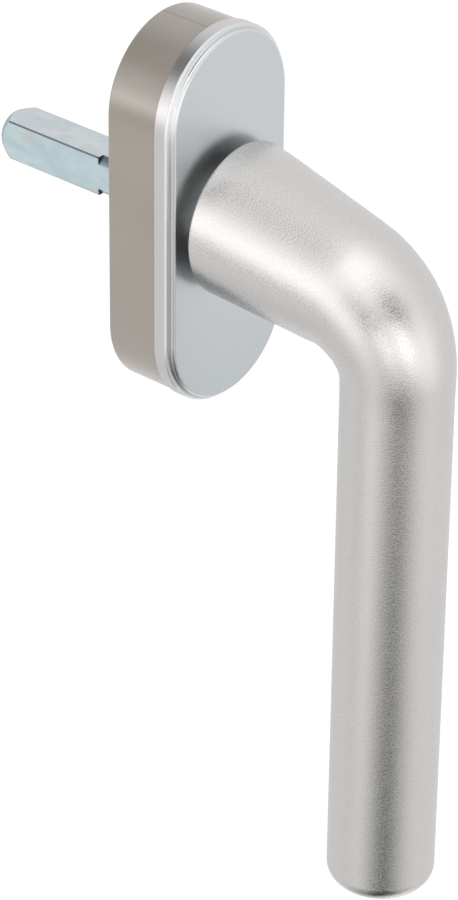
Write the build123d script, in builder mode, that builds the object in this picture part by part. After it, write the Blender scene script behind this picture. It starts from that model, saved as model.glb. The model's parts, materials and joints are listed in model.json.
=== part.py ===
# Window handle: an L-shaped cast lever on an oval rosette, with a square spindle for the window gear.
# The window frame is the plane XZ, and the base's back face lies on it at Y = 0.
# The origin is on the spindle's axis, the room is towards -Y, and the lever hangs down at rest.
# Depths are measured from the base's back face towards the room.

import os
from math import cos, pi, radians, sin, tan

from build123d import *

# Rosette base, a plastic moulding
base_width = 28.5
base_length = 66.0
base_depth = 10.0
base_wall = 1.8
base_web = 1.8
base_edge = 0.4
rib_thickness = 1.4
rib_setback = 1.0
rib_root = 0.5

# Fixing lugs and screws
screw_spacing = 43.0
lug_diameter = 10.0
lug_height = 2.5
lug_chamfer = 0.4
boss_shoulder = 0.5
screw_hole_diameter = 5.3
screw_head_diameter = 10.0

# Drawn cover
cover_overhang = 0.25
cover_sheet = 0.9
cover_skirt = 2.45
cover_shoulder = 0.4
cover_flat = 0.05
cover_cove = 0.3
cover_riser = 0.1
cover_face_edge = 0.6
cover_seat_gap = 0.05
cover_fit = 0.1
cover_ledge_gap = 0.15
cover_lift = 1.8
cover_lift_margin = 0.3

# Ring in the cover's hole
ring_wall = 1.75
ring_bore_clearance = 0.25
ring_flange_width = 1.6
ring_flange_thickness = 0.55

# Lever
neck_end_diameter = 26.1
neck_end_rise = 0.75
neck_bend_diameter = 22.3
neck_droop = 9.4
neck_edge = 0.5
bend_radius = 13.7
taper_start = 8.0
taper_length = 17.0
settle_length = 5.0
grip_diameter = 18.4
grip_axis_depth = 48.56
lever_length = 114.6
tip_round = 3.2
neck_steps = 6
bend_steps = 12

# Spigot of the lever
spigot_diameter = 16.0
spigot_square = 11.0
spigot_corner_diameter = 14.0
spigot_end_depth = 0.6
spigot_end_land = 0.3
ring_groove_diameter = 13.0
socket_depth = 14.0
socket_clearance = 0.03

# Spindle
spindle_size = 7.0
spindle_corner_diameter = 9.6
spindle_reach = 33.6
spindle_tip_length = 1.8
spindle_tip_diameter = 6.8
spindle_groove_start = 9.2
spindle_groove_width = 2.6
spindle_groove_diameter = 8.3
spindle_socket_gap = 0.2

# Cross pin
pin_diameter = 2.5
pin_wall = 0.5
pin_slot = 0.6
pin_end_gap = 0.25

# Bearing and stack of washers
running_clearance = 0.05
bush_clearance = 0.03
bush_wall = 1.45
bush_flange_width = 1.5
bush_flange_thickness = 0.8
washer_thickness = 0.8
thrust_washer_diameter = 23.0
end_washer_diameter = 19.0
cam_thickness = 3.0
cam_across_flats = 17.0
cam_corner_diameter = 20.4
cam_edge = 0.3
plate_thickness = 1.2
retaining_ring_thickness = 1.0
retaining_ring_width = 1.7
retaining_lug_radius = 1.9
retaining_lug_hole = 0.75
retaining_lug_offset = 0.8
retaining_gap = 4.4
stack_gap = 0.05

# Detent springs
leaf_thickness = 0.7
leaf_height = 2.9
leaf_end_gap = 0.5
pocket_length = 26.8

# Back plate and its screws
plate_length = 38.0
plate_corner = 3.0
plate_edge_gap = 0.2
plate_boss_gap = 0.4
plate_screw_side_inset = 3.85
plate_screw_end_inset = 2.6
plate_screw_diameter = 2.5
plate_screw_head = 4.8
plate_screw_length = 6.0
plate_screw_clearance = 0.04
recess_width = 0.7
recess_length = 3.0
recess_depth = 0.9

# Depths that follow from the stack
ring_back = spigot_end_depth + spigot_end_land
ring_front = ring_back + retaining_ring_thickness
end_washer_back = ring_front + stack_gap
plate_back = end_washer_back + washer_thickness + stack_gap
plate_front = plate_back + plate_thickness
cam_back = plate_front + 2 * stack_gap
cam_front = cam_back + cam_thickness
thrust_back = cam_front + stack_gap
hub_back = thrust_back + washer_thickness + stack_gap

# Depths of the cover and the neck
cover_back = base_depth + cover_seat_gap
cover_shoulder_depth = cover_back + cover_skirt
cover_face = cover_shoulder_depth + cover_cove + cover_riser + cover_face_edge
cover_inside = cover_face - cover_sheet
base_front = cover_shoulder_depth - cover_sheet - cover_ledge_gap
neck_end = cover_face + cover_lift + cover_lift_margin
pin_depth = (hub_back + base_front) / 2

# Widths that follow from the fits
cover_width = base_width + 2 * cover_overhang
cover_length = base_length + 2 * cover_overhang
cover_ledge = cover_shoulder + cover_flat + cover_cove
step_inset = cover_sheet + cover_fit - cover_overhang
inner_half_width = base_width / 2 - base_wall
boss_diameter = lug_diameter + 2 * boss_shoulder
plate_half_width = inner_half_width - plate_edge_gap
plate_half_length = plate_length / 2 - plate_edge_gap
plate_screw_x = plate_half_width - plate_screw_side_inset
plate_screw_z = plate_half_length - plate_screw_end_inset
bush_bore = spigot_diameter + 2 * running_clearance
bush_diameter = bush_bore + 2 * bush_wall
ring_bore = spigot_diameter + 2 * ring_bore_clearance
ring_diameter = ring_bore + 2 * ring_wall
leaf_inside = cam_across_flats / 2 + stack_gap
leaf_bow = inner_half_width - leaf_inside - leaf_thickness - stack_gap


def facing_room(depth):
    """A plane parallel to the window frame at a depth from the base's back face."""
    return Plane.XZ.offset(depth)


def oval(inset, width=base_width, length=base_length):
    """The rosette's outline, with round ends, drawn in by an inset."""
    return SlotOverall(length - 2 * inset, width - 2 * inset, rotation=90)


os.makedirs("parts", exist_ok=True)

# Base: outer wall, stepped front, lugs, ribs and the pocket of the detent
with BuildPart() as base:
    with BuildSketch(facing_room(0)):
        oval(0)
    extrude(amount=base_depth)
    fillet(base.edges().filter_by(Plane.XZ).group_by(Axis.Y)[-1], radius=base_edge)
    with BuildSketch(facing_room(base_depth)):
        oval(step_inset)
    extrude(amount=base_front - base_depth)
    chamfer(base.edges().filter_by(Plane.XZ).group_by(Axis.Y)[0], length=base_edge)
    with BuildSketch(facing_room(0)):
        oval(base_wall)
    extrude(amount=base_front - base_web, mode=Mode.SUBTRACT)

    # block that carries the back plate, with the detent's pocket in it
    with BuildSketch(facing_room(plate_front)):
        Rectangle(2 * (inner_half_width + rib_root), plate_length)
    extrude(amount=base_front - base_web / 2 - plate_front)
    with BuildSketch(facing_room(0)):
        Rectangle(2 * inner_half_width, pocket_length)
    extrude(amount=hub_back, mode=Mode.SUBTRACT)

    # ribs between the screw bosses and the outer wall
    rib_start = screw_spacing / 2 + boss_diameter / 2 - rib_root
    rib_end = base_length / 2 - base_wall + rib_root
    with BuildSketch(facing_room(rib_setback)):
        with Locations((0, screw_spacing / 2), (0, -screw_spacing / 2)):
            Rectangle(2 * inner_half_width, rib_thickness)
        with Locations((0, (rib_start + rib_end) / 2), (0, -(rib_start + rib_end) / 2)):
            Rectangle(rib_thickness, rib_end - rib_start)
    extrude(amount=base_front - base_web / 2 - rib_setback)

    # screw bosses, which reach into the window frame as lugs
    with BuildSketch(facing_room(0)):
        with Locations((0, screw_spacing / 2), (0, -screw_spacing / 2)):
            Circle(boss_diameter / 2)
    extrude(amount=base_front - base_web / 2)
    with BuildSketch(facing_room(0)):
        with Locations((0, screw_spacing / 2), (0, -screw_spacing / 2)):
            Circle(lug_diameter / 2)
    extrude(amount=-lug_height)
    chamfer(base.edges().filter_by(GeomType.CIRCLE).group_by(Axis.Y)[-1], length=lug_chamfer)
    with Locations(facing_room(base_front)):
        with Locations((0, screw_spacing / 2), (0, -screw_spacing / 2)):
            CounterSinkHole(screw_hole_diameter / 2, screw_head_diameter / 2)

    # bearing hub and the seat of the bush's flange
    with Locations(facing_room(base_front)):
        CounterBoreHole(
            bush_diameter / 2 + bush_clearance,
            bush_diameter / 2 + bush_flange_width + running_clearance,
            bush_flange_thickness,
        )

    # pilot holes of the plate screws
    with Locations(facing_room(plate_front).rotated((0, 180, 0))):
        with GridLocations(2 * plate_screw_x, 2 * plate_screw_z, 2, 2):
            Hole(plate_screw_diameter / 2 + plate_screw_clearance, depth=plate_screw_length - rib_setback)
base.part.label = "base"
export_step(base.part, "parts/base.step")

# Guide bush in the hub
with BuildPart() as guide_bush:
    with BuildSketch(facing_room(base_front)):
        Circle(bush_diameter / 2 + bush_flange_width)
    extrude(amount=-bush_flange_thickness)
    with BuildSketch(facing_room(base_front)):
        Circle(bush_diameter / 2)
    extrude(amount=hub_back - base_front)
    with BuildSketch(facing_room(base_front)):
        Circle(bush_bore / 2)
    extrude(amount=hub_back - base_front, mode=Mode.SUBTRACT)
guide_bush.part.label = "guide_bush"
export_step(guide_bush.part, "parts/guide_bush.step")

# Thrust washer between the hub and the cam
with BuildPart() as thrust_washer:
    with BuildSketch(facing_room(thrust_back)):
        Circle(thrust_washer_diameter / 2)
        Circle(bush_bore / 2, mode=Mode.SUBTRACT)
    extrude(amount=washer_thickness)
thrust_washer.part.label = "thrust_washer"
export_step(thrust_washer.part, "parts/thrust_washer.step")

# Back plate, cut away round the screw bosses, with countersunk holes at its corners
with BuildPart() as back_plate:
    with BuildSketch(facing_room(plate_back)):
        RectangleRounded(2 * plate_half_width, 2 * plate_half_length, plate_corner)
        Circle(spigot_corner_diameter / 2 + running_clearance, mode=Mode.SUBTRACT)
        with Locations((0, screw_spacing / 2), (0, -screw_spacing / 2)):
            Circle(boss_diameter / 2 + plate_boss_gap, mode=Mode.SUBTRACT)
    extrude(amount=plate_thickness)
    with Locations(facing_room(plate_back).rotated((0, 180, 0))):
        with GridLocations(2 * plate_screw_x, 2 * plate_screw_z, 2, 2):
            CounterSinkHole(
                plate_screw_diameter / 2 + plate_screw_clearance,
                plate_screw_head / 2 + plate_screw_clearance,
            )
back_plate.part.label = "back_plate"
export_step(back_plate.part, "parts/back_plate.step")

# Screws of the back plate, with cross recesses
plate_screw_places = [
    (side * plate_screw_x, end * plate_screw_z) for end in (1, -1) for side in (-1, 1)
]
head_cone = (plate_screw_head - plate_screw_diameter) / 2
for number, place in enumerate(plate_screw_places, start=1):
    with BuildPart() as plate_screw:
        with BuildSketch(Plane.XY):
            with BuildLine():
                Polyline(
                    (0, 0),
                    (plate_screw_head / 2, 0),
                    (plate_screw_diameter / 2, head_cone),
                    (plate_screw_diameter / 2, plate_screw_length - plate_screw_diameter / 2),
                    (0, plate_screw_length),
                    close=True,
                )
            make_face()
        revolve(axis=Axis.Y)
        with BuildSketch(Plane.XZ.offset(-recess_depth)):
            Rectangle(recess_length, recess_width)
            Rectangle(recess_width, recess_length)
        extrude(amount=recess_depth, mode=Mode.SUBTRACT)
    screw = plate_screw.part.rotate(Axis.Z, 180).moved(Location((place[0], -plate_back, place[1])))
    screw.label = f"plate_screw_{number}"
    export_step(screw, f"parts/plate_screw_{number}.step")

# Detent springs, bowed leaves whose middles touch the cam's flats
leaf_half_length = pocket_length / 2 - leaf_end_gap
leaf_back = (plate_front + thrust_back - leaf_height) / 2
for side, name in ((-1, "detent_spring_left"), (1, "detent_spring_right")):
    with BuildPart() as detent_spring:
        with BuildSketch(facing_room(leaf_back)):
            with BuildLine():
                inner = ThreePointArc(
                    (side * (leaf_inside + leaf_bow), leaf_half_length),
                    (side * leaf_inside, 0),
                    (side * (leaf_inside + leaf_bow), -leaf_half_length),
                )
                outer = ThreePointArc(
                    (side * (leaf_inside + leaf_bow + leaf_thickness), leaf_half_length),
                    (side * (leaf_inside + leaf_thickness), 0),
                    (side * (leaf_inside + leaf_bow + leaf_thickness), -leaf_half_length),
                )
                Line(inner @ 0, outer @ 0)
                Line(inner @ 1, outer @ 1)
            make_face()
        extrude(amount=leaf_height)
    detent_spring.part.label = name
    export_step(detent_spring.part, f"parts/{name}.step")


# Lever: the centreline runs out along the drooping neck, round the bend and down the grip
droop = radians(neck_droop)
neck_start = (0, -neck_end, neck_end_rise)
bend_corner = (0, -grip_axis_depth, neck_end_rise - (grip_axis_depth - neck_end) * tan(droop))
grip_end = (0, -grip_axis_depth, -lever_length)
with BuildLine() as centreline:
    FilletPolyline(neck_start, bend_corner, grip_end, radius=bend_radius)
lever_axis = centreline.wire()
bend_trim = bend_radius * tan((pi / 2 - droop) / 2)
neck_length = (grip_axis_depth - neck_end) / cos(droop) - bend_trim
neck_slope = (neck_end_diameter - neck_bend_diameter) / 2 / neck_length
loft_length = neck_length + taper_start + taper_length + settle_length


def lever_radius(run):
    """The lever's radius at a run along the centreline from the neck's end."""
    along = min(1, max(0, (run - neck_length - taper_start) / taper_length))
    blend = along**2 * (3 - 2 * along)
    return (neck_end_diameter / 2 - neck_slope * run) * (1 - blend) + grip_diameter / 2 * blend


neck_runs = [neck_length * step / neck_steps for step in range(1, neck_steps)]
bend_runs = [neck_length + (loft_length - neck_length) * step / bend_steps for step in range(bend_steps + 1)]
with BuildPart() as lever:
    with BuildSketch(facing_room(neck_end)):
        with Locations((0, neck_end_rise)):
            Circle(neck_end_diameter / 2)
    for run in neck_runs + bend_runs:
        at = run / lever_axis.length
        with BuildSketch(Plane(origin=lever_axis @ at, x_dir=(1, 0, 0), z_dir=lever_axis % at)):
            Circle(lever_radius(run))
    loft()
    fillet(lever.faces().sort_by(Axis.Y)[-1].outer_wire().edges(), radius=neck_edge)
    with BuildSketch(Plane(origin=lever_axis @ at, x_dir=(1, 0, 0), z_dir=lever_axis % at)):
        Circle(grip_diameter / 2)
    extrude(amount=lever_axis.length * (1 - at))
    fillet(lever.edges().filter_by(GeomType.CIRCLE).sort_by(Axis.Z)[0], radius=tip_round)

    # spigot, its square, the turned groove and the spindle's socket
    with BuildSketch(facing_room(cam_front)):
        Circle(spigot_diameter / 2)
    extrude(amount=neck_end + neck_edge - cam_front)
    with BuildSketch(facing_room(spigot_end_depth)):
        Rectangle(spigot_square, spigot_square)
        Circle(spigot_corner_diameter / 2, mode=Mode.INTERSECT)
    extrude(amount=cam_front - spigot_end_depth)
    with BuildSketch(facing_room(ring_back - stack_gap)):
        Circle(spigot_diameter / 2)
        Circle(ring_groove_diameter / 2, mode=Mode.SUBTRACT)
    extrude(amount=retaining_ring_thickness + 2 * stack_gap, mode=Mode.SUBTRACT)
    with BuildSketch(facing_room(0)):
        Rectangle(spindle_size + 2 * socket_clearance, spindle_size + 2 * socket_clearance)
    extrude(amount=socket_depth, mode=Mode.SUBTRACT)
    with BuildSketch(Plane.YZ.offset(-spigot_diameter / 2)):
        with Locations((-pin_depth, 0)):
            Circle(pin_diameter / 2 + socket_clearance)
    extrude(amount=spigot_diameter, mode=Mode.SUBTRACT)
lever.part.label = "lever"
export_step(lever.part, "parts/lever.step")

# Detent cam on the spigot's square, with four flats between rounded corners
with BuildPart() as detent_cam:
    with BuildSketch(facing_room(cam_back)):
        Rectangle(cam_across_flats, cam_across_flats)
        Circle(cam_corner_diameter / 2, mode=Mode.INTERSECT)
        Rectangle(
            spigot_square + 2 * running_clearance,
            spigot_square + 2 * running_clearance,
            mode=Mode.SUBTRACT,
        )
    extrude(amount=cam_thickness)
    chamfer(detent_cam.edges().filter_by(GeomType.CIRCLE), length=cam_edge)
detent_cam.part.label = "detent_cam"
export_step(detent_cam.part, "parts/detent_cam.step")

# End washer behind the back plate
with BuildPart() as end_washer:
    with BuildSketch(facing_room(end_washer_back)):
        Circle(end_washer_diameter / 2)
        Circle(spigot_corner_diameter / 2 + running_clearance, mode=Mode.SUBTRACT)
    extrude(amount=washer_thickness)
end_washer.part.label = "end_washer"
export_step(end_washer.part, "parts/end_washer.step")

# Retaining ring, open at the bottom between two lugs for the pliers
ring_inner_radius = ring_groove_diameter / 2 + running_clearance
ring_middle_radius = ring_inner_radius + retaining_ring_width / 2
lug_reach = ring_middle_radius + retaining_lug_offset
lug_angle = (retaining_gap / 2 + retaining_lug_radius) / lug_reach
lug_places = [(side * lug_reach * sin(lug_angle), -lug_reach * cos(lug_angle)) for side in (-1, 1)]
with BuildPart() as retaining_ring:
    with BuildSketch(facing_room(ring_back)):
        Circle(ring_inner_radius + retaining_ring_width)
        with Locations((0, -ring_middle_radius)):
            Rectangle(retaining_gap, 2 * retaining_ring_width, mode=Mode.SUBTRACT)
        with Locations(lug_places):
            Circle(retaining_lug_radius)
        Circle(ring_inner_radius, mode=Mode.SUBTRACT)
        with Locations(lug_places):
            Circle(retaining_lug_hole, mode=Mode.SUBTRACT)
    extrude(amount=retaining_ring_thickness)
retaining_ring.part.label = "retaining_ring"
export_step(retaining_ring.part, "parts/retaining_ring.step")

# Spindle: a square bar with a turned tip, and a groove turned into its corners
with BuildPart() as spindle:
    with BuildSketch(facing_room(-spindle_reach)):
        Rectangle(spindle_size, spindle_size)
    extrude(amount=spindle_reach + socket_depth - spindle_socket_gap)
    with BuildSketch(Plane.XY):
        with BuildLine():
            Polyline(
                (0, -socket_depth),
                (spindle_corner_diameter / 2, -socket_depth),
                (spindle_corner_diameter / 2, spindle_groove_start),
                (spindle_groove_diameter / 2, spindle_groove_start),
                (spindle_groove_diameter / 2, spindle_groove_start + spindle_groove_width),
                (spindle_corner_diameter / 2, spindle_groove_start + spindle_groove_width),
                (spindle_corner_diameter / 2, spindle_reach - spindle_tip_length),
                (spindle_tip_diameter / 2, spindle_reach),
                (0, spindle_reach),
                close=True,
            )
        make_face()
    revolve(axis=Axis.Y, mode=Mode.INTERSECT)
    with BuildSketch(Plane.YZ.offset(-spindle_size)):
        with Locations((-pin_depth, 0)):
            Circle(pin_diameter / 2 + socket_clearance)
    extrude(amount=2 * spindle_size, mode=Mode.SUBTRACT)
spindle.part.label = "spindle"
export_step(spindle.part, "parts/spindle.step")

# Slotted cross pin through the spigot and the spindle
with BuildPart() as spindle_pin:
    pin_length = spigot_diameter - 2 * pin_end_gap
    with BuildSketch(Plane.YZ.offset(-pin_length / 2)):
        with Locations((-pin_depth, 0)):
            Circle(pin_diameter / 2)
            Circle(pin_diameter / 2 - pin_wall, mode=Mode.SUBTRACT)
        with Locations((-pin_depth - pin_diameter / 2, 0)):
            Rectangle(pin_diameter, pin_slot, mode=Mode.SUBTRACT)
    extrude(amount=pin_length)
spindle_pin.part.label = "spindle_pin"
export_step(spindle_pin.part, "parts/spindle_pin.step")

# Cover: skirt, rounded shoulder, ledge and raised face, drawn from one sheet
with BuildPart() as cover_cap:
    with BuildSketch(facing_room(cover_back)):
        oval(0, cover_width, cover_length)
    extrude(amount=cover_skirt)
    fillet(cover_cap.edges().filter_by(Plane.XZ).group_by(Axis.Y)[0], radius=cover_shoulder)
    with BuildSketch(facing_room(cover_shoulder_depth)):
        oval(cover_ledge, cover_width, cover_length)
    extrude(amount=cover_face - cover_shoulder_depth)
    ledge_face = cover_cap.faces().filter_by(Plane.XZ).sort_by(Axis.Y)[1]
    fillet(ledge_face.inner_wires().edges(), radius=cover_cove)
    fillet(cover_cap.edges().filter_by(Plane.XZ).group_by(Axis.Y)[0], radius=cover_face_edge)
    with BuildSketch(facing_room(cover_back)):
        oval(cover_sheet, cover_width, cover_length)
    extrude(amount=cover_skirt - cover_sheet, mode=Mode.SUBTRACT)
    with BuildSketch(facing_room(cover_back)):
        oval(cover_ledge + cover_sheet, cover_width, cover_length)
    extrude(amount=cover_inside - cover_back, mode=Mode.SUBTRACT)
    with Locations(facing_room(cover_face)):
        Hole(ring_diameter / 2 + bush_clearance)
cover_cap.part.label = "cover_cap"
export_step(cover_cap.part, "parts/cover_cap.step")

# Ring in the cover's hole, with a flange behind the sheet
with BuildPart() as cap_ring:
    with BuildSketch(facing_room(cover_face)):
        Circle(ring_diameter / 2)
    extrude(amount=-cover_sheet)
    with BuildSketch(facing_room(cover_inside)):
        Circle(ring_diameter / 2 + ring_flange_width)
    extrude(amount=-ring_flange_thickness)
    with Locations(facing_room(cover_face)):
        Hole(ring_bore / 2)
cap_ring.part.label = "cap_ring"
export_step(cap_ring.part, "parts/cap_ring.step")
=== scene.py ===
import json
from math import cos, radians, sin, sqrt

import bmesh
import bpy
from mathutils import Matrix, Vector


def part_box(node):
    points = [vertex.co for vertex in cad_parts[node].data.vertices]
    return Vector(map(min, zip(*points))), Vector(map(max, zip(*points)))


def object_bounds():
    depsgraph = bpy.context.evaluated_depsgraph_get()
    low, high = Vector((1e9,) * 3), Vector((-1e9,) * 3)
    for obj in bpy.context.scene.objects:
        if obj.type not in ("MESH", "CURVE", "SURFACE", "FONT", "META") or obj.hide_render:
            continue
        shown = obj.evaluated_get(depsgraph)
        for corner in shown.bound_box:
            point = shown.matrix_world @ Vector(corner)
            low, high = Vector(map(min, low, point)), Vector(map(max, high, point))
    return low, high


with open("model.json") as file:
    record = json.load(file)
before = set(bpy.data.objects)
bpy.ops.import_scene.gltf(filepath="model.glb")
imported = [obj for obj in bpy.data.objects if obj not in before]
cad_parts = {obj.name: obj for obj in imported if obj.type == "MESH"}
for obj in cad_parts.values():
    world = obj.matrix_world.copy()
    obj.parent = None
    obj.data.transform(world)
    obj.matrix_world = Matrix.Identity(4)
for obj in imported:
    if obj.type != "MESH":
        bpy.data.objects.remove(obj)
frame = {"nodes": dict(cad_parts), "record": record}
cad_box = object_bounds()
nodes = frame["nodes"]
MM = 0.001


# Camera: the photograph's place, fitted to the rosette's and the spindle's edges

PHOTO_HEIGHT = 900
CAMERA_FOCAL_PX = 3965.6
CAMERA_AZIMUTH = -49.948
CAMERA_ELEVATION = 31.419
CAMERA_ROLL = 0.607
CAMERA_PLACE = Vector((-431.38, -376.48, 300.51)) * MM
CAMERA_CLIP_START = 10 * MM
SENSOR_HEIGHT = 36.0


def direction(azimuth, elevation):
    """Unit vector from the object, in degrees: azimuth 0 is the room in front and 90 its right."""
    turn, lift = radians(azimuth), radians(elevation)
    return Vector((sin(turn) * cos(lift), -cos(turn) * cos(lift), sin(lift)))


def camera_axes(azimuth, elevation, roll):
    """Right, up and backward directions of a camera that looks from a direction, in degrees."""
    back = direction(azimuth, elevation)
    right = Vector((cos(radians(azimuth)), sin(radians(azimuth)), 0))
    up = back.cross(right)
    tip = radians(roll)
    rolled_right = right * cos(tip) + up * sin(tip)
    rolled_up = up * cos(tip) - right * sin(tip)
    return Matrix((rolled_right, rolled_up, back)).transposed()


camera_data = bpy.data.cameras.new("camera")
camera_data.sensor_fit = "VERTICAL"
camera_data.sensor_height = SENSOR_HEIGHT
camera_data.lens = CAMERA_FOCAL_PX * SENSOR_HEIGHT / PHOTO_HEIGHT
camera_data.clip_start = CAMERA_CLIP_START
camera_turn = camera_axes(CAMERA_AZIMUTH, CAMERA_ELEVATION, CAMERA_ROLL)
camera = bpy.data.objects.new("camera", camera_data)
camera.matrix_world = Matrix.Translation(CAMERA_PLACE) @ camera_turn.to_4x4()
bpy.context.scene.collection.objects.link(camera)
bpy.context.scene.camera = camera
bpy.context.scene.view_settings.view_transform = "Standard"


# Shader nodes


class Socket:
    """An output of a shader node. Arithmetic on it adds Math nodes to its material."""

    def __init__(self, shader, output):
        self.shader = shader
        self.output = output

    def math(self, operation, *others):
        values = dict(enumerate((self, *others)))
        return self.shader.node("ShaderNodeMath", {"operation": operation}, values)

    def __add__(self, other):
        return self.math("ADD", other)

    __radd__ = __add__

    def __mul__(self, other):
        return self.math("MULTIPLY", other)

    __rmul__ = __mul__

    def __sub__(self, other):
        return self.math("SUBTRACT", other)

    def __rsub__(self, other):
        return self * -1 + other

    def __abs__(self):
        return self.math("ABSOLUTE")


class Shader:
    """A material or world, whose nodes are added one by one."""

    def __init__(self, name, data=None):
        self.data = data or bpy.data.materials.new(name)
        self.data.use_nodes = True
        self.tree = self.data.node_tree
        self.tree.nodes.clear()

    def node(self, kind, settings=None, values=None, output=0):
        """Adds a node with its settings, then its sockets' values or links, and returns one output."""
        made = self.tree.nodes.new(kind)
        for name, setting in (settings or {}).items():
            setattr(made, name, setting)
        for name, value in (values or {}).items():
            if isinstance(value, Socket):
                self.tree.links.new(value.output, made.inputs[name])
            else:
                made.inputs[name].default_value = value
        return Socket(self, made.outputs[output]) if made.outputs else None


def blend(factor, first, second):
    """A colour between two colours."""
    colours = {0: factor, 6: first, 7: second}
    return factor.shader.node("ShaderNodeMix", {"data_type": "RGBA"}, colours, output=2)


def grey(value):
    return (value, value, value, 1)


# Studio: soft boxes and dark cards round the object, seen by the metal and not by the camera

STUDIO_LEVEL = 0.9
COOL_LIGHT = (0.985, 0.995, 1.0, 1)
WARM_LIGHT = (1.0, 0.952, 0.925, 1)
LAMP_WARMTH = 0.5
# Each one's azimuth, elevation and width in degrees, and its strength, below 0 for a card
STUDIO_LIGHTS = {
    "box overhead": (-58, 63, 25, 1.04),
    "box on the left": (-107, 4, 24, 0.98),
    "tube on the left": (-127, 0, 6, 1.6),
    "low strip, left half": (-57, -2, 8, 1.6),
    "low strip, right half": (-25, 7, 9, 1.7),
    "low strip, end": (8, 0, 18, 0.5),
    "bounce from the table": (57, -75, 12, 0.9),
    "bounce below": (0, -68, 26, 0.4),
    "bounce behind, below": (172, -66, 18, 0.25),
    "card below the camera": (-37, -72, 25, -1.3),
    "card at the table's edge": (-47, -40, 14, -0.4),
    "card over the strip": (-23, 35, 14, -1.15),
    "card beside the camera": (-70, 10, 13, -1.05),
    "card behind, high": (-147, 48, 21, -1.35),
    "card behind, low": (-123, -13, 11, -1.0),
    "card behind, right": (176, -30, 25, -0.11),
}

studio_world = bpy.data.worlds.new("studio")
bpy.context.scene.world = studio_world
studio = Shader("studio", studio_world)
looking = studio.node("ShaderNodeTexCoord")
level = STUDIO_LEVEL
for azimuth, elevation, width, strength in STUDIO_LIGHTS.values():
    towards = studio.node(
        "ShaderNodeVectorMath",
        {"operation": "DOT_PRODUCT"},
        {0: looking, 1: direction(azimuth, elevation)},
        output="Value",
    )
    lobe = ((towards - 1) * radians(width) ** -2).math("EXPONENT")
    level = lobe * strength + level
level = level.math("MAXIMUM", 0.0)
warmth = ((level - STUDIO_LEVEL) * LAMP_WARMTH + 0.5).math("MAXIMUM", 0.0).math("MINIMUM", 1.0)
camera_ray = studio.node("ShaderNodeLightPath", output="Is Camera Ray")
through_ray = studio.node("ShaderNodeLightPath", output="Is Transmission Ray")
background = camera_ray.math("MAXIMUM", through_ray)
tint = blend(background, blend(warmth, COOL_LIGHT, WARM_LIGHT), grey(1))
glow = level + (1 - level) * background
sky = studio.node("ShaderNodeBackground", values={"Color": tint, "Strength": glow})
studio.node("ShaderNodeOutputWorld", values={"Surface": sky})


# Floor: pale and matt, white to the camera, with the object's shadow

FLOOR_DROP = 85 * MM
FLOOR_HALF = 2500 * MM
FLOOR_SHADE = grey(0.6)
FLOOR_GLOW = grey(0.5)
FLOOR_PALE = grey(0.85)

floor_shader = Shader("floor")
floor_matt = floor_shader.node("ShaderNodeBsdfDiffuse", values={"Color": FLOOR_SHADE})
floor_glow = floor_shader.node("ShaderNodeEmission", values={"Color": FLOOR_GLOW})
floor_white = floor_shader.node("ShaderNodeAddShader", values={0: floor_matt, 1: floor_glow})
floor_pale = floor_shader.node("ShaderNodeBsdfDiffuse", values={"Color": FLOOR_PALE})
floor_clear = floor_shader.node("ShaderNodeBsdfTransparent")
floor_ray = floor_shader.node("ShaderNodeLightPath", output="Is Camera Ray")
floor_gloss = floor_shader.node("ShaderNodeLightPath", output="Is Glossy Ray")
floor_seen = floor_shader.node(
    "ShaderNodeMixShader", values={0: floor_ray, 1: floor_pale, 2: floor_white}
)
floor_all = floor_shader.node(
    "ShaderNodeMixShader", values={0: floor_gloss, 1: floor_seen, 2: floor_clear}
)
floor_shader.node("ShaderNodeOutputMaterial", values={"Surface": floor_all})

floor_mesh = bmesh.new()
bmesh.ops.create_grid(floor_mesh, x_segments=1, y_segments=1, size=FLOOR_HALF)
bmesh.ops.translate(floor_mesh, vec=(0, 0, cad_box[0].z - FLOOR_DROP), verts=floor_mesh.verts)
floor_data = bpy.data.meshes.new("floor")
floor_mesh.to_mesh(floor_data)
floor_mesh.free()
floor_data.materials.append(floor_shader.data)
floor = bpy.data.objects.new("floor", floor_data)
bpy.context.scene.collection.objects.link(floor)


# Finishes and painted light and shade: distances from the spindle's axis at which they fade, upwards,
# downwards and across

# Above these heights the cover's painted highlights weaken and the base's top takes its painted shade
ROUND_END = (22 * MM, 31 * MM)
# Heights over which the painted highlights and shade on the cover's step change from their low-down
# pattern to their top pattern
COVER_PAINTED_LIGHT_FADE = (12 * MM, 26 * MM)
# Depths below the axis over which the cover's painted reflection, darker and cooler, sets in
COVER_LOW_FADE = (10 * MM, 33 * MM)
PARTING_LINE = -1.4 * MM

# The cover's face and the bands of its stepped edge, from the base's back towards the room

COVER_FACE = -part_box("cover_cap")[0].y
COVER_SKIRT_END = COVER_FACE - 1.5 * MM
COVER_SHOULDER = (COVER_FACE - 1.26 * MM, COVER_FACE - 1.05 * MM)
COVER_STEP = (COVER_FACE - 1.0 * MM, COVER_FACE - 0.1 * MM)
COVER_GROOVE = (COVER_FACE - 0.9 * MM, COVER_FACE - 0.5 * MM)
COVER_FACE_EDGE = (COVER_FACE - 0.35 * MM, COVER_FACE - 0.05 * MM)

# The spindle's square, its turned corners, and its length from the base's back

SPINDLE_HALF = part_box("spindle")[1].x
SPINDLE_CORNER_CUT = 0.15 * MM
SPINDLE_TURNED = SPINDLE_HALF * sqrt(2) - SPINDLE_CORNER_CUT
SPINDLE_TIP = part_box("spindle")[1].y
SPINDLE_GROOVE_END = 11.8 * MM
SPINDLE_BEVEL_START = SPINDLE_TIP - 1.8 * MM
SPINDLE_BEVEL_SLOPE = 0.78

# Colours of the finishes and of the painted highlights, reflection and shade, and how metallic metal
# and plastic are

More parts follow.
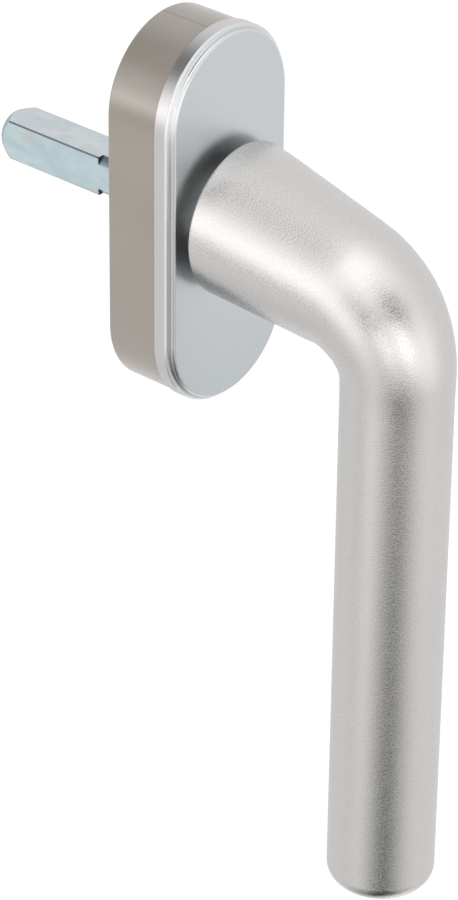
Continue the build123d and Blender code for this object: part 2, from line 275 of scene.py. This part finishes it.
METAL = 1.0
PLASTIC = 0.0
CAST_DARK = (0.63, 0.626, 0.62, 1)
CAST_PALE = (0.715, 0.713, 0.707, 1)
CAST_PIT = (0.25, 0.245, 0.24, 1)
SHEET_DARK = (0.616, 0.655, 0.678, 1)
SHEET_PALE = (0.656, 0.697, 0.72, 1)
# Painted reflection: the cover darker and cooler towards the bottom
SHEET_PAINTED_LOW_REFLECTION = (0.588, 0.635, 0.668, 1)
# Painted highlight on the cover's stepped edge, and painted shade in its groove
SHEET_PAINTED_HIGHLIGHT = (0.96, 0.965, 0.97, 1)
SHEET_PAINTED_SHADE = (0.33, 0.335, 0.34, 1)
SHEET_SKIRT = (0.70, 0.685, 0.69, 1)
BASE_DARK = (0.318, 0.289, 0.258, 1)
BASE_PALE = (0.345, 0.316, 0.283, 1)
# Painted shade: the base's top darker and greyer
BASE_PAINTED_TOP_SHADE = (0.305, 0.286, 0.264, 1)
BASE_LINE = (0.12, 0.11, 0.10, 1)
BASE_GLOSS = {"Specular IOR Level": 1.0, "Coat Weight": 0.6, "Coat Roughness": 0.17}
ZINC_BLUE_DARK = (0.535, 0.715, 0.77, 1)
ZINC_BLUE_PALE = (0.655, 0.79, 0.835, 1)
# Painted reflection: the spindle's top face greyer and paler than its sides
ZINC_TOP_REFLECTION_DARK = (0.59, 0.67, 0.72, 1)
ZINC_TOP_REFLECTION_PALE = (0.73, 0.785, 0.81, 1)
ZINC_TAN = (0.66, 0.62, 0.57, 1)
# Painted shade along the spindle's turned corners, in their groove and on the tip's bevel
ZINC_PAINTED_SHADE = (0.10, 0.09, 0.085, 1)


def place(shader):
    """The spot on the piece, in metres of the shared frame."""
    return shader.node("ShaderNodeTexCoord", output="Object")


def axis(shader, letter):
    """One coordinate of the spot on the piece."""
    return shader.node("ShaderNodeSeparateXYZ", values={"Vector": place(shader)}, output=letter)


def noise(shader, size, detail=2.0, stretch=(1, 1, 1), roughness=0.5):
    """Noise whose lumps are about a size across, in metres."""
    spot = shader.node("ShaderNodeMapping", values={"Vector": place(shader), "Scale": stretch})
    return shader.node(
        "ShaderNodeTexNoise",
        values={"Vector": spot, "Scale": 1 / size, "Detail": detail, "Roughness": roughness},
    )


def ramp(value, start, end):
    """Rises smoothly from 0 to 1 as a socket's value goes from start to end."""
    return value.shader.node(
        "ShaderNodeMapRange",
        {"interpolation_type": "SMOOTHSTEP"},
        {"Value": value, "From Min": start, "From Max": end},
    )


def band(value, middle, half_width):
    """1 where a socket's value is at the middle, falling to 0 at the half width."""
    return 1 - ramp(abs(value - middle), half_width * 0.3, half_width)


def between(value, low, high, soft):
    """1 where a socket's value is between low and high, falling to 0 within a soft edge."""
    return ramp(value, low - soft, low) * (1 - ramp(value, high, high + soft))


def pits(shader, spacing, radius):
    """Small round spots with one in each cell of the spacing, in metres."""
    cells = {"Vector": place(shader), "Scale": 1 / spacing}
    away = shader.node("ShaderNodeTexVoronoi", values=cells, output="Distance")
    return 1 - ramp(away, 0.5 * radius / spacing, radius / spacing)


def bump(height, depth):
    """A surface normal from a height between 0 and 1 and its depth in metres."""
    values = {"Height": height, "Distance": depth}
    return height.shader.node("ShaderNodeBump", values=values, output="Normal")


def finish_of(shader, colour, metallic, roughness, normal, **more):
    """The material, once its surface has its colour, its roughness and its normal."""
    values = {"Base Color": colour, "Metallic": metallic, "Roughness": roughness, "Normal": normal}
    surface = shader.node("ShaderNodeBsdfPrincipled", values={**values, **more})
    shader.node("ShaderNodeOutputMaterial", values={"Surface": surface})
    return shader.data


def blasted_aluminium():
    """Cast aluminium, bead blasted: bright, finely speckled, with a few small pits."""
    shader = Shader("blasted_aluminium")
    grain = ramp(noise(shader, size=0.22 * MM, roughness=0.6), 0.3, 0.7)
    cloud = noise(shader, size=6 * MM, detail=3.0)
    pitted = pits(shader, spacing=7 * MM, radius=0.22 * MM)
    colour = blend(grain * 0.75 + cloud * 0.25, CAST_DARK, CAST_PALE)
    colour = blend(pitted * 0.6, colour, CAST_PIT)
    roughness = grain * 0.2 + cloud * 0.04 + 0.165
    normal = bump(grain - pitted, depth=0.01 * MM)
    return finish_of(shader, colour, METAL, roughness, normal)


def satin_aluminium():
    """Drawn aluminium sheet, satin anodised, with painted highlights on its stepped edge, painted shade
    in the step's groove low down, and a painted reflection that is darker and cooler towards the
    bottom.
    """
    shader = Shader("satin_aluminium")
    grain = noise(shader, size=0.16 * MM)
    cloud = noise(shader, size=9 * MM)
    depth = axis(shader, "Y") * -1
    height = axis(shader, "Z")
    # Painted reflection: darker and cooler towards the bottom
    low_reflection = ramp(height * -1, *COVER_LOW_FADE)
    # Weights of the painted light on the stepped edge: the low-down pattern, and highlights that weaken
    # at the top
    painted_light_low_down = 1 - ramp(height, *COVER_PAINTED_LIGHT_FADE) * 0.75
    highlight_below_top = 1 - ramp(height, *ROUND_END) * 0.7
    skirt = 1 - ramp(depth, COVER_SKIRT_END, COVER_SKIRT_END + 0.15 * MM)
    shoulder = between(depth, *COVER_SHOULDER, soft=0.08 * MM)
    groove = between(depth, *COVER_GROOVE, soft=0.1 * MM)
    face_edge = between(depth, *COVER_FACE_EDGE, soft=0.05 * MM)
    step = between(depth, *COVER_STEP, soft=0.1 * MM) * (1 - painted_light_low_down) * highlight_below_top
    colour = blend(grain * 0.4 + cloud * 0.6, SHEET_DARK, SHEET_PALE)
    # Painted reflection low down
    colour = blend(low_reflection, colour, SHEET_PAINTED_LOW_REFLECTION)
    # Painted highlights on the shoulder and, low down, on the face edge
    colour = blend(shoulder * highlight_below_top + face_edge * painted_light_low_down * 0.2, colour, SHEET_PAINTED_HIGHLIGHT)
    # Painted shade in the step's groove, low down
    colour = blend(groove * painted_light_low_down * 0.6, colour, SHEET_PAINTED_SHADE)
    # Painted highlight on the step, higher up
    colour = blend(step * 0.8, colour, SHEET_PAINTED_HIGHLIGHT)
    colour = blend(skirt * 0.8, colour, SHEET_SKIRT)
    roughness = cloud * 0.05 + shoulder * 0.15 + skirt * 0.04 + step * 0.12 + 0.3
    return finish_of(shader, colour, METAL, roughness, bump(grain, depth=0.002 * MM))


def moulded_plastic(name, dark, pale):
    """Moulded plastic with soft clouds of two tones and a fine grain."""
    shader = Shader(name)
    grain = noise(shader, size=0.3 * MM)
    cloud = ramp(noise(shader, size=9 * MM, detail=3.0, stretch=(1, 0.5, 1)), 0.35, 0.65)
    colour = blend(grain * 0.2 + cloud * 0.8, dark, pale)
    roughness = grain * 0.08 + 0.42
    return finish_of(shader, colour, PLASTIC, roughness, bump(grain, depth=0.003 * MM))


def base_plastic():
    """The base's grey-beige plastic, with the mould's parting line across its top, and painted shade
    that makes the top darker and greyer.
    """
    shader = Shader("base_plastic")
    grain = noise(shader, size=0.3 * MM)
    cloud = ramp(noise(shader, size=11 * MM, detail=3.0, stretch=(1, 0.4, 1)), 0.35, 0.65)
    across, height = axis(shader, "X"), axis(shader, "Z")
    top = ramp(height, *ROUND_END)
    line = band(across, PARTING_LINE, half_width=0.22 * MM) * top
    shade = ramp(across, PARTING_LINE, PARTING_LINE + 0.1 * MM) * top
    colour = blend(grain * 0.1 + cloud * 0.9, BASE_DARK, BASE_PALE)
    # Painted shade: the top darker and greyer
    colour = blend(top * 0.7, colour, BASE_PAINTED_TOP_SHADE)
    colour = blend(line * 0.55 + shade * 0.08, colour, BASE_LINE)
    roughness = cloud * 0.05 + 0.22
    normal = bump(grain * 0.06 - line, depth=0.02 * MM)
    return finish_of(shader, colour, PLASTIC, roughness, normal, **BASE_GLOSS)


def plated_steel(name, dark, pale):
    """Steel with a cloudy plated surface."""
    shader = Shader(name)
    cloud = noise(shader, size=3 * MM, detail=4.0, roughness=0.6)
    grain = noise(shader, size=0.3 * MM)
    roughness = cloud * 0.15 + 0.3
    normal = bump(grain, depth=0.004 * MM)
    return finish_of(shader, blend(cloud, dark, pale), METAL, roughness, normal)


def spindle_steel():
    """Square steel bar with a bluish zinc coat, tan lower down, a painted reflection that makes its top
    face greyer and paler, and painted shade along its turned corners, in their groove and on the tip's
    bevel.
    """
    shader = Shader("spindle_steel")
    across, along, up = (axis(shader, letter) for letter in "XYZ")
    radius = (across * across + up * up).math("SQRT")
    cloud = noise(shader, size=2.4 * MM, detail=4.0, stretch=(1, 0.5, 1), roughness=0.6)
    patch = noise(shader, size=4 * MM, detail=3.0, stretch=(1, 0.4, 1))
    grain = noise(shader, size=0.25 * MM)
    mottle = ramp(cloud, 0.3, 0.7)
    side = blend(mottle, ZINC_BLUE_DARK, ZINC_BLUE_PALE)
    # Painted reflection: the top face greyer and paler than the sides
    top_face_reflection = blend(mottle, ZINC_TOP_REFLECTION_DARK, ZINC_TOP_REFLECTION_PALE)
    colour = blend(ramp(up, SPINDLE_HALF * 0.95, SPINDLE_HALF), side, top_face_reflection)
    warm = ramp(patch - up * (0.04 / MM), 0.52, 0.74)
    colour = blend(warm * 0.55, colour, ZINC_TAN)
    turned = ramp(radius, SPINDLE_TURNED - 0.03 * MM, SPINDLE_TURNED)
    turned = turned * (1 - ramp(radius, SPINDLE_TURNED, SPINDLE_TURNED * 1.1))
    reach = abs(across).math("MAXIMUM", abs(up))
    sunk = 1 - ramp(reach, SPINDLE_HALF * 0.985, SPINDLE_HALF * 0.997)
    sunk = sunk * (band(along, SPINDLE_GROOVE_END, half_width=0.5 * MM) * 0.6 + 0.3)
    groove = sunk * (1 - ramp(along, SPINDLE_GROOVE_END + 0.2 * MM, SPINDLE_GROOVE_END + 0.4 * MM))
    slant = radius + (along - SPINDLE_BEVEL_START) * SPINDLE_BEVEL_SLOPE
    bevel = band(slant, SPINDLE_TURNED - 0.05 * MM, half_width=0.16 * MM)
    bevel = bevel * ramp(along, SPINDLE_BEVEL_START, SPINDLE_BEVEL_START + 0.3 * MM)
    # Painted shade along the turned corners, in the groove and on the tip's bevel
    dark = turned * (cloud * 0.9 - 0.05) + groove + bevel * 0.3
    colour = blend(dark.math("MINIMUM", 0.9), colour, ZINC_PAINTED_SHADE)
    roughness = cloud * 0.2 + 0.3
    return finish_of(shader, colour, METAL, roughness, bump(grain, depth=0.006 * MM))


finishes = {
    "base_plastic": base_plastic(),
    "bearing_plastic": moulded_plastic("bearing_plastic", (0.66, 0.64, 0.59, 1), (0.74, 0.72, 0.67, 1)),
    "dark_plastic": moulded_plastic("dark_plastic", (0.02, 0.02, 0.021, 1), (0.035, 0.035, 0.036, 1)),
    "spring_steel": plated_steel("spring_steel", (0.32, 0.31, 0.30, 1), (0.45, 0.44, 0.42, 1)),
    "plated_steel": plated_steel("plated_steel", (0.52, 0.56, 0.58, 1), (0.70, 0.72, 0.72, 1)),
    "blasted_aluminium": blasted_aluminium(),
    "satin_aluminium": satin_aluminium(),
    "spindle_steel": spindle_steel(),
}
for piece in frame["record"]["subparts"]:
    mesh = nodes[piece["node"]].data
    mesh.materials.clear()
    mesh.materials.append(finishes[piece["material_slot"]])
